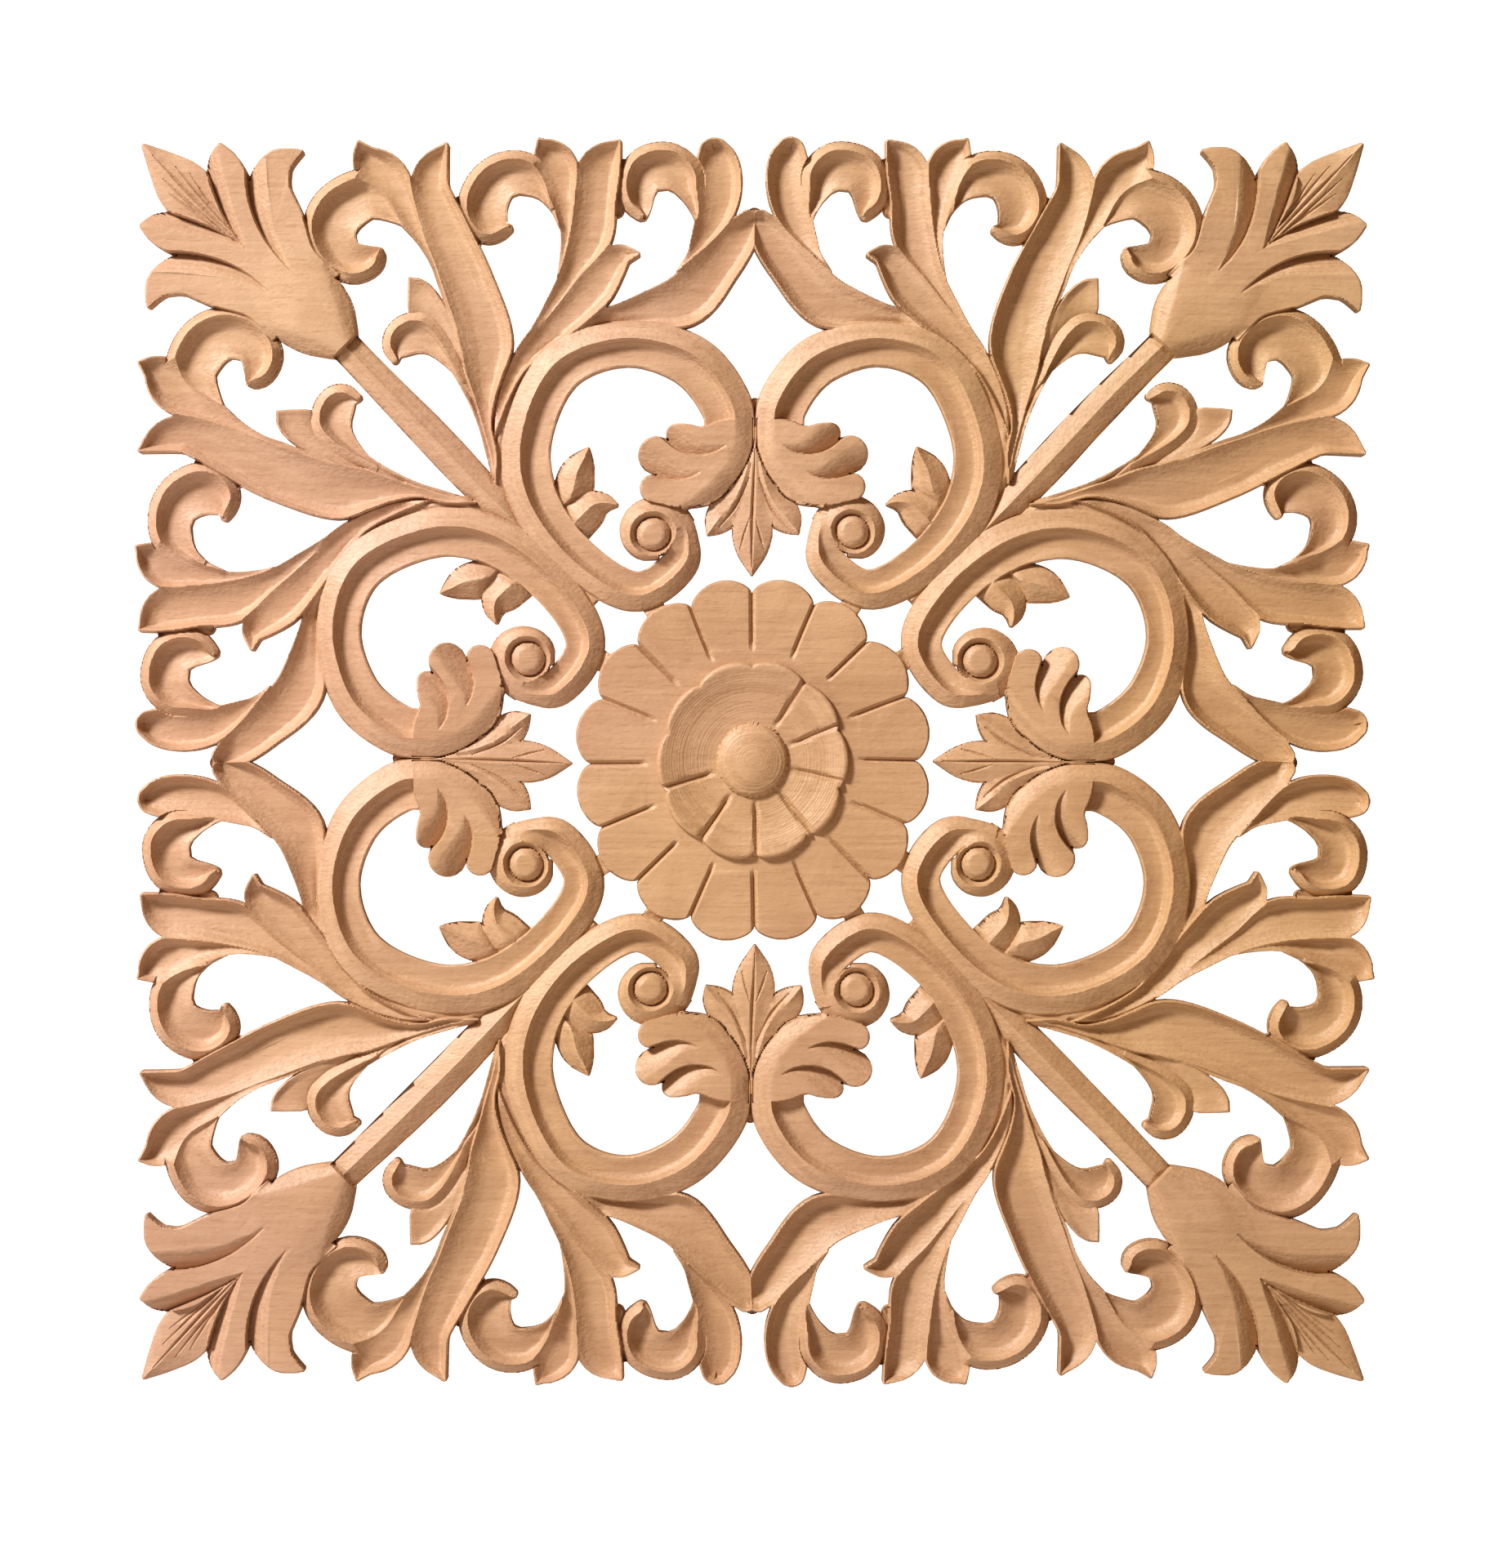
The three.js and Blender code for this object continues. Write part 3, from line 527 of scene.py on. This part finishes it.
# From relief to mesh.
def wedge_grid():
    """The grid's points between the vertical axis and the diagonal, and the triangles that join them."""
    count = int(REACH / GRID)
    column, row = np.meshgrid(np.arange(count + 1), np.arange(count + 1), indexing="ij")
    kept = row >= column
    number = np.full(column.shape, -1)
    number[kept] = np.arange(kept.sum())
    corner, right, top, far = number[:-1, :-1], number[1:, :-1], number[:-1, 1:], number[1:, 1:]
    upper = np.stack([corner, far, top], -1)[corner >= 0]
    lower = np.stack([corner, right, far], -1)[right >= 0]
    triangles = np.vstack([upper, lower])
    return column[kept] * GRID, row[kept] * GRID, triangles


def odd_corner_first(triangles, odd):
    first = np.argmax(odd[triangles], axis=1)
    return np.take_along_axis(triangles, (first[:, None] + np.arange(3)) % 3, axis=1)


def cut_at_outline(x, z, height, inside, triangles):
    """The triangles inside the outline, cut where it crosses them, and the outline's own edges."""
    solid = inside > 0
    count = solid[triangles].sum(axis=1)
    whole = triangles[count == 3]
    tip = odd_corner_first(triangles[count == 1], solid)
    stub = odd_corner_first(triangles[count == 2], ~solid)
    crossed = np.vstack([tip[:, [0, 1]], tip[:, [0, 2]], stub[:, [0, 1]], stub[:, [0, 2]]])
    edges, place = np.unique(np.sort(crossed, axis=1), axis=0, return_inverse=True)
    place = place.ravel() + len(x)
    tip_left, tip_right, stub_left, stub_right = np.split(place, np.cumsum([len(tip), len(tip), len(stub)]))
    share = inside[edges[:, 0]] / (inside[edges[:, 0]] - inside[edges[:, 1]])
    points = np.column_stack([x, -height, z])
    crossing = points[edges[:, 0]] + share[:, None] * (points[edges[:, 1]] - points[edges[:, 0]])
    points = np.vstack([points, crossing])
    faces = np.vstack([whole, np.column_stack([tip[:, 0], tip_left, tip_right]),
                       np.column_stack([stub_left, stub[:, 1], stub[:, 2]]),
                       np.column_stack([stub_left, stub[:, 2], stub_right])])
    outline = np.vstack([np.column_stack([tip_left, tip_right]), np.column_stack([stub_right, stub_left])])
    return points, faces, outline


def with_back(points, faces, outline):
    """The front closed with upright walls along the outline and a flat back."""
    used, order = np.unique(faces, return_inverse=True)
    renumbered = np.full(len(points), -1)
    renumbered[used] = np.arange(len(used))
    front, outline = points[used], renumbered[outline]
    back = front * (1, 0, 1)
    faces = order.reshape(-1, 3)
    start, end = outline[:, 0], outline[:, 1]
    shift = len(front)
    walls = np.vstack([np.column_stack([end, start, start + shift]),
                       np.column_stack([end, start + shift, end + shift])])
    return np.vstack([front, back]), np.vstack([faces, faces[:, ::-1] + shift, walls])


def mesh_object(name, points, faces):
    mesh = bpy.data.meshes.new(name)
    mesh.from_pydata(points.tolist(), [], faces.tolist())
    piece = bpy.data.objects.new(name, mesh)
    bpy.context.scene.collection.objects.link(piece)
    return piece


def arrays_of(mesh):
    points = np.empty(len(mesh.vertices) * 3)
    mesh.vertices.foreach_get("co", points)
    mesh.calc_loop_triangles()
    faces = np.empty(len(mesh.loop_triangles) * 3, int)
    mesh.loop_triangles.foreach_get("vertices", faces)
    return points.reshape(-1, 3), faces.reshape(-1, 3)


def applied(piece):
    """The piece's mesh with its modifiers worked in."""
    return bpy.data.meshes.new_from_object(piece.evaluated_get(bpy.context.evaluated_depsgraph_get()))


def thinned(points, faces, most):
    """The same surface with fewer triangles."""
    piece = mesh_object("dense_octant", points, faces)
    thinning = piece.modifiers.new("thinning", "DECIMATE")
    thinning.ratio = most / len(faces)
    thinning.use_collapse_triangulate = True
    result = arrays_of(applied(piece))
    bpy.data.objects.remove(piece)
    return result


def snapped_to_mirrors(points, faces):
    """Open edges put back exactly on the vertical axis and the diagonal, where the mirror images join."""
    edges = np.sort(np.vstack([faces[:, [0, 1]], faces[:, [1, 2]], faces[:, [2, 0]]]), axis=1)
    edges, uses = np.unique(edges, axis=0, return_counts=True)
    border = np.unique(edges[uses == 1])
    on_axis = border[points[border, 0] < np.abs(points[border, 0] - points[border, 2])]
    on_diagonal = np.setdiff1d(border, on_axis)
    points[on_axis, 0] = 0
    points[on_diagonal, 0] = points[on_diagonal, 2] = points[on_diagonal][:, [0, 2]].mean(axis=1)
    front = border[points[border, 1] < -LOWEST_FACE]
    inside, height = octant_relief(points[front, 0], points[front, 2])
    points[front, 1] = np.where(inside > EDGE_WIDTH, -height, points[front, 1])
    return points


def mirrored_eight(points, faces):
    """The octant in its eight places."""
    all_points, all_faces = [], []
    for swap in (False, True):
        for side in (1, -1):
            for up in (1, -1):
                copy = (points[:, [2, 1, 0]] if swap else points) * (side, 1, up)
                turned = faces if (side * up < 0) == swap else faces[:, ::-1]
                all_faces.append(turned + len(points) * len(all_points))
                all_points.append(copy)
    return np.vstack(all_points), np.vstack(all_faces)


def panel_mesh():
    x, z, triangles = wedge_grid()
    inside, height = octant_relief(x, z)
    close = np.abs(inside) < OUTLINE_SNAP
    inside = np.where(close, np.where(inside > 0, OUTLINE_SNAP, -OUTLINE_SNAP), inside)
    points, faces = with_back(*cut_at_outline(x, z, height, inside, triangles))
    points, faces = thinned(points, faces, OCTANT_TRIANGLES)
    return mirrored_eight(snapped_to_mirrors(points, faces), faces)


# The rosette.
ROSETTE_RINGS = 60
ROSETTE_SIDES = 200


def rosette_height(radius, angle):
    share = np.clip((radius - BOSS["radius"]) / (DISH["outer"] - BOSS["radius"]), 0, 1)
    dish_height = DISH["floor"] + (ROSETTE["top"] - DISH["floor"]) * share ** DISH["climb"]
    for degrees in ROSETTE_GROOVES:
        dish_height -= radial_groove(radius, angle, math.radians(degrees), ROSETTE_GROOVE)
    dish_height -= rounded_edge(scalloped_radius(angle, ROSETTE) - radius, ROSETTE["round"])
    swell = np.clip(1 - (radius / BOSS["radius"]) ** 2, 0, 1) ** BOSS["fullness"]
    boss = BOSS["edge"] + (BOSS["top"] - BOSS["edge"]) * swell
    height = np.where(radius < BOSS["radius"], boss, dish_height)
    rings = np.sin(2 * math.pi * radius / TURNING["spacing"])
    return height + TURNING["depth"] * rings * (radius < 0.9 * DISH["outer"])


def rosette_mesh():
    """Rings of points from the middle to the scalloped edge, closed by a wall and a foot inside the plate."""
    angle = np.arange(ROSETTE_SIDES) * 2 * math.pi / ROSETTE_SIDES
    edge = scalloped_radius(angle, ROSETTE)
    share = np.arange(1, ROSETTE_RINGS + 1)[:, None] / ROSETTE_RINGS
    radius = share * edge
    height = rosette_height(radius, np.broadcast_to(angle, radius.shape))
    rings = np.stack([radius * np.sin(angle), -height, radius * np.cos(angle)], -1).reshape(-1, 3)
    foot = np.column_stack([edge * np.sin(angle), np.full(ROSETTE_SIDES, -ROSETTE["foot"]), edge * np.cos(angle)])
    middle = [[0, -rosette_height(np.zeros(1), np.zeros(1))[0], 0], [0, -ROSETTE["foot"], 0]]
    points = np.vstack([rings, foot, middle])
    here = np.arange(ROSETTE_SIDES)
    there = (here + 1) % ROSETTE_SIDES
    faces = []
    for ring_number in range(ROSETTE_RINGS):
        inner, outer = ring_number * ROSETTE_SIDES, (ring_number + 1) * ROSETTE_SIDES
        faces.append(np.column_stack([inner + here, outer + here, outer + there]))
        faces.append(np.column_stack([inner + here, outer + there, inner + there]))
    last = ROSETTE_RINGS * ROSETTE_SIDES
    faces.append(np.column_stack([np.full(ROSETTE_SIDES, len(points) - 2), here, there]))
    faces.append(np.column_stack([np.full(ROSETTE_SIDES, len(points) - 1), last + there, last + here]))
    return points, np.vstack(faces)[:, ::-1]


# The piece.
def welded(points, faces, name):
    piece = mesh_object(name, points, faces)
    build = bmesh.new()
    build.from_mesh(piece.data)
    bmesh.ops.remove_doubles(build, verts=build.verts, dist=1e-4)
    bmesh.ops.recalc_face_normals(build, faces=build.faces)
    build.to_mesh(piece.data)
    build.free()
    return piece


def drifted(points):
    """Slow waves across the panel, so that no two repeats are quite alike, as in hand carving."""
    random = np.random.default_rng(11)
    moved = points.copy()
    for axis, amount, wavelength in ((0, 0.9, 190), (2, 0.9, 190), (0, 0.2, 60), (2, 0.2, 60), (1, 0.2, 30)):
        drift = np.zeros(len(points))
        for _ in range(6):
            heading, phase = random.uniform(0, 2 * math.pi, 2)
            step = points[:, 0] * math.cos(heading) + points[:, 2] * math.sin(heading)
            drift += np.sin(step * 2 * math.pi / wavelength + phase)
        share = np.clip(-points[:, 1] / 8, 0, 1) if axis == 1 else 1
        moved[:, axis] += amount / math.sqrt(3) * drift * share
    return moved


def carve_panel():
    panel = welded(*panel_mesh(), "carved_panel")
    rosette = welded(*rosette_mesh(), "turned_rosette")
    union = panel.modifiers.new("rosette", "BOOLEAN")
    union.operation = "UNION"
    union.solver = "MANIFOLD"
    union.object = rosette
    mesh = applied(panel)
    panel.modifiers.clear()
    panel.data = mesh
    bpy.data.objects.remove(rosette)
    points, _ = arrays_of(mesh)
    low, high = (np.array(corner) for corner in CAD_BOX)
    stretch = (high[2] - low[2]) / (high[0] - low[0])
    points = drifted(points) * (MM, MM, MM * stretch)
    mesh.vertices.foreach_set("co", points.ravel())
    mesh.shade_smooth()
    mesh.set_sharp_from_angle(angle=SHARP_ANGLE)
    shading = panel.modifiers.new("even_shading", "WEIGHTED_NORMAL")
    shading.keep_sharp = True
    mesh = applied(panel)
    panel.modifiers.clear()
    panel.data = mesh
    return panel


# Bare wood.
WOOD_ROUGHNESS = 0.5
WOOD_SPECULAR = 0.5
PINK_WOOD = (0.565, 0.38, 0.272, 1)
YELLOW_WOOD = (0.545, 0.37, 0.215, 1)
YELLOWING = 0.7  # how much yellower the wood gets per metre to the right
BOARDS = [(-0.31, (0.97, 0.94, 0.92, 1)), (-0.201, (1, 0.97, 0.92, 1)), (0.086, (1, 0.98, 0.98, 1)),
          (0.179, (1, 1, 0.97, 1))]  # height of each board's lower edge in metres, and its tint
WHITE = (1, 1, 1, 1)
TURNED_RADIUS = 0.043  # metres; inside it the lathe left its rings
FLAT_FACING = 0.99  # how squarely a smooth face looks forward, and a rough slope
SLOPE_FACING = 0.85


def noise(tree, place, scale, stretch, detail):
    mapping = tree.nodes.new("ShaderNodeMapping")
    mapping.inputs["Scale"].default_value = stretch
    texture = tree.nodes.new("ShaderNodeTexNoise")
    texture.inputs["Scale"].default_value = scale
    texture.inputs["Detail"].default_value = detail
    tree.links.new(place, mapping.inputs["Vector"])
    tree.links.new(mapping.outputs["Vector"], texture.inputs["Vector"])
    return texture.outputs["Fac"]


def ramp(tree, value, low, high, first, last):
    node = tree.nodes.new("ShaderNodeValToRGB")
    start, end = node.color_ramp.elements
    start.position, end.position = low, high
    start.color, end.color = first, last
    tree.links.new(value, node.inputs["Fac"])
    return node.outputs["Color"]


def multiplied(tree, first, second, share):
    node = tree.nodes.new("ShaderNodeMix")
    node.data_type = "RGBA"
    node.blend_type = "MULTIPLY"
    node.inputs["Factor"].default_value = share
    tree.links.new(first, node.inputs["A"])
    tree.links.new(second, node.inputs["B"])
    return node.outputs["Result"]


def bumped(tree, height, strength, distance, below=None):
    node = tree.nodes.new("ShaderNodeBump")
    node.inputs["Distance"].default_value = distance
    tree.links.new(strength, node.inputs["Strength"])
    tree.links.new(height, node.inputs["Height"])
    if below is not None:
        tree.links.new(below, node.inputs["Normal"])
    return node.outputs["Normal"]


def by_slope(tree, facing, on_flats, on_slopes):
    """A value that grows from the flat faces of the board to the slopes of the carving."""
    split = tree.nodes.new("ShaderNodeSeparateXYZ")
    tree.links.new(facing, split.inputs["Vector"])
    share = tree.nodes.new("ShaderNodeMapRange")
    share.inputs["From Min"].default_value = -FLAT_FACING
    share.inputs["From Max"].default_value = -SLOPE_FACING
    share.inputs["To Min"].default_value = on_flats
    share.inputs["To Max"].default_value = on_slopes
    tree.links.new(split.outputs["Y"], share.inputs["Value"])
    return share.outputs["Result"]


def along(tree, place, axis):
    split = tree.nodes.new("ShaderNodeSeparateXYZ")
    tree.links.new(place, split.inputs["Vector"])
    return split.outputs[axis]


def board_tints(tree, place):
    """The panel is glued up from boards of slightly different colour, one above the other."""
    share = tree.nodes.new("ShaderNodeMapRange")
    bottom, top = BOARDS[0][0], -BOARDS[0][0]
    share.inputs["From Min"].default_value = bottom
    share.inputs["From Max"].default_value = top
    tree.links.new(along(tree, place, "Z"), share.inputs["Value"])
    node = tree.nodes.new("ShaderNodeValToRGB")
    node.color_ramp.interpolation = "CONSTANT"
    for number, (edge, tint) in enumerate(BOARDS):
        position = (edge - bottom) / (top - bottom)
        step = node.color_ramp.elements[number] if number < 2 else node.color_ramp.elements.new(position)
        step.position, step.color = position, tint
    tree.links.new(share.outputs["Result"], node.inputs["Fac"])
    return node.outputs["Color"]


def wood_colour(tree, place):
    """Pinkish to yellowish wood with fine grain along X, dark pores, and rings that lie nearly flat in the board."""
    hue = tree.nodes.new("ShaderNodeMath")
    hue.operation = "MULTIPLY_ADD"
    hue.inputs[1].default_value = YELLOWING
    tree.links.new(along(tree, place, "X"), hue.inputs[0])
    tree.links.new(noise(tree, place, 4, (1, 1, 1.6), 2), hue.inputs[2])
    patches = ramp(tree, hue.outputs["Value"], 0.3, 0.7, PINK_WOOD, YELLOW_WOOD)
    grain = ramp(tree, noise(tree, place, 420, (0.04, 1, 1), 4), 0.3, 0.7, (0.82, 0.78, 0.74, 1), WHITE)
    pores = ramp(tree, noise(tree, place, 1500, (0.06, 1, 1), 2), 0.3, 0.42, (0.7, 0.62, 0.54, 1), WHITE)
    rings = ramp(tree, noise(tree, place, 800, (0.015, 1, 0.015), 1), 0.35, 0.65, (0.86, 0.81, 0.76, 1), WHITE)
    boards = multiplied(tree, patches, board_tints(tree, place), 1)
    grained = multiplied(tree, multiplied(tree, boards, grain, 0.7), pores, 0.5)
    return multiplied(tree, grained, rings, 0.7)


def turned_rings(tree, place):
    """Fine rings round the middle of the rosette."""
    flattened = tree.nodes.new("ShaderNodeVectorMath")
    flattened.operation = "MULTIPLY"
    flattened.inputs[1].default_value = (1, 0, 1)
    tree.links.new(place, flattened.inputs[0])
    length = tree.nodes.new("ShaderNodeVectorMath")
    length.operation = "LENGTH"
    tree.links.new(flattened.outputs["Vector"], length.inputs[0])
    lines = tree.nodes.new("ShaderNodeTexNoise")
    lines.noise_dimensions = "1D"
    lines.inputs["Scale"].default_value = 1000
    tree.links.new(length.outputs["Value"], lines.inputs["W"])
    within = tree.nodes.new("ShaderNodeMath")
    within.operation = "LESS_THAN"
    within.inputs[1].default_value = TURNED_RADIUS
    tree.links.new(length.outputs["Value"], within.inputs[0])
    shown = tree.nodes.new("ShaderNodeMath")
    shown.operation = "MULTIPLY"
    tree.links.new(lines.outputs["Fac"], shown.inputs[0])
    tree.links.new(within.outputs["Value"], shown.inputs[1])
    return shown.outputs["Value"]


def wood_surface(tree, place, facing):
    """Small facets from the knife, torn fibres, and the lathe's rings."""
    facets = bumped(tree, noise(tree, place, 150, (1, 1, 1), 1), by_slope(tree, facing, 0.3, 0.6), 0.0006)
    fibres = bumped(tree, noise(tree, place, 700, (0.6, 1, 1), 3), by_slope(tree, facing, 0.35, 0.75), 0.0006, facets)
    return bumped(tree, turned_rings(tree, place), by_slope(tree, facing, 0.45, 0.45), 0.0005, fibres)


def wood_material():
    material = bpy.data.materials.new("bare_carved_wood")
    material.use_nodes = True
    tree = material.node_tree
    shader = tree.nodes["Principled BSDF"]
    shader.inputs["Roughness"].default_value = WOOD_ROUGHNESS
    shader.inputs["Specular IOR Level"].default_value = WOOD_SPECULAR
    spot = tree.nodes.new("ShaderNodeTexCoord")
    place, facing = spot.outputs["Object"], spot.outputs["Normal"]
    tree.links.new(wood_colour(tree, place), shader.inputs["Base Color"])
    tree.links.new(wood_surface(tree, place, facing), shader.inputs["Normal"])
    return material


# The studio.
PHOTO_WIDTH, PHOTO_HEIGHT = 1818, 1920  # pixels
PANEL_PIXELS = 1514  # the panel's width in the photograph
PANEL_OFFSET = (13, 28)  # the panel's middle, right of and above the photograph's middle, in pixels
LENS = 150
SENSOR = 36
FLOOR_DROP = 0.9
FLOOR_SIZE = 5.0
KEY_PLACE = (-2.0, -1.8, 2.0)
KEY_SIZE = 0.6
KEY_POWER = 152
KEY_COLOUR = (1, 0.98, 0.96)
SURROUND_COLOUR = (1, 0.6, 0.32, 1)
SURROUND_STRENGTH = 0.26


def add_camera():
    pixel = WIDTH * MM / PANEL_PIXELS
    camera = bpy.data.cameras.new("camera")
    camera.lens = LENS
    camera.sensor_width = SENSOR
    rig = bpy.data.objects.new("camera", camera)
    distance = max(PHOTO_WIDTH, PHOTO_HEIGHT) * pixel * LENS / SENSOR
    rig.location = (-PANEL_OFFSET[0] * pixel, CAD_BOX[0].y - distance, -PANEL_OFFSET[1] * pixel)
    rig.rotation_euler = (math.pi / 2, 0, 0)
    bpy.context.scene.collection.objects.link(rig)
    bpy.context.scene.camera = rig


def plain_material(name, colour):
    material = bpy.data.materials.new(name)
    material.use_nodes = True
    shader = material.node_tree.nodes["Principled BSDF"]
    shader.inputs["Base Color"].default_value = colour
    shader.inputs["Roughness"].default_value = 0.9
    return material


def add_floor():
    side = FLOOR_SIZE / 2
    corners = np.array([[-side, -side, 0], [side, -side, 0], [side, side, 0], [-side, side, 0]])
    floor = mesh_object("floor", corners - (0, 0, FLOOR_DROP), np.array([[0, 1, 2, 3]]))
    floor.data.materials.append(plain_material("pale_floor", (0.85, 0.84, 0.82, 1)))


def add_light(name, place, size, power, colour):
    light = bpy.data.lights.new(name, "AREA")
    light.energy = power
    light.size = size
    light.color = colour
    lamp = bpy.data.objects.new(name, light)
    lamp.location = place
    lamp.rotation_euler = (-Vector(place)).to_track_quat("-Z", "Y").to_euler()
    bpy.context.scene.collection.objects.link(lamp)


def add_world():
    """A white surround for the eye, and a dim warm one that lights the panel."""
    world = bpy.data.worlds.new("studio")
    world.use_nodes = True
    nodes, links = world.node_tree.nodes, world.node_tree.links
    seen = nodes["Background"]
    seen.inputs["Color"].default_value = (1, 1, 1, 1)
    lighting = nodes.new("ShaderNodeBackground")
    lighting.inputs["Color"].default_value = SURROUND_COLOUR
    lighting.inputs["Strength"].default_value = SURROUND_STRENGTH
    path = nodes.new("ShaderNodeLightPath")
    choice = nodes.new("ShaderNodeMixShader")
    links.new(path.outputs["Is Camera Ray"], choice.inputs[0])
    links.new(lighting.outputs[0], choice.inputs[1])
    links.new(seen.outputs[0], choice.inputs[2])
    links.new(choice.outputs[0], nodes["World Output"].inputs["Surface"])
    bpy.context.scene.world = world


def main():
    panel = carve_panel()
    panel.data.materials.clear()
    panel.data.materials.append(wood_material())
    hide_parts(NODE)
    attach(panel, BODY)
    add_camera()
    add_floor()
    add_world()
    add_light("key", KEY_PLACE, KEY_SIZE, KEY_POWER, KEY_COLOUR)
    bpy.context.scene.view_settings.view_transform = "Standard"
    bpy.context.scene.view_settings.look = "Medium High Contrast"


main()
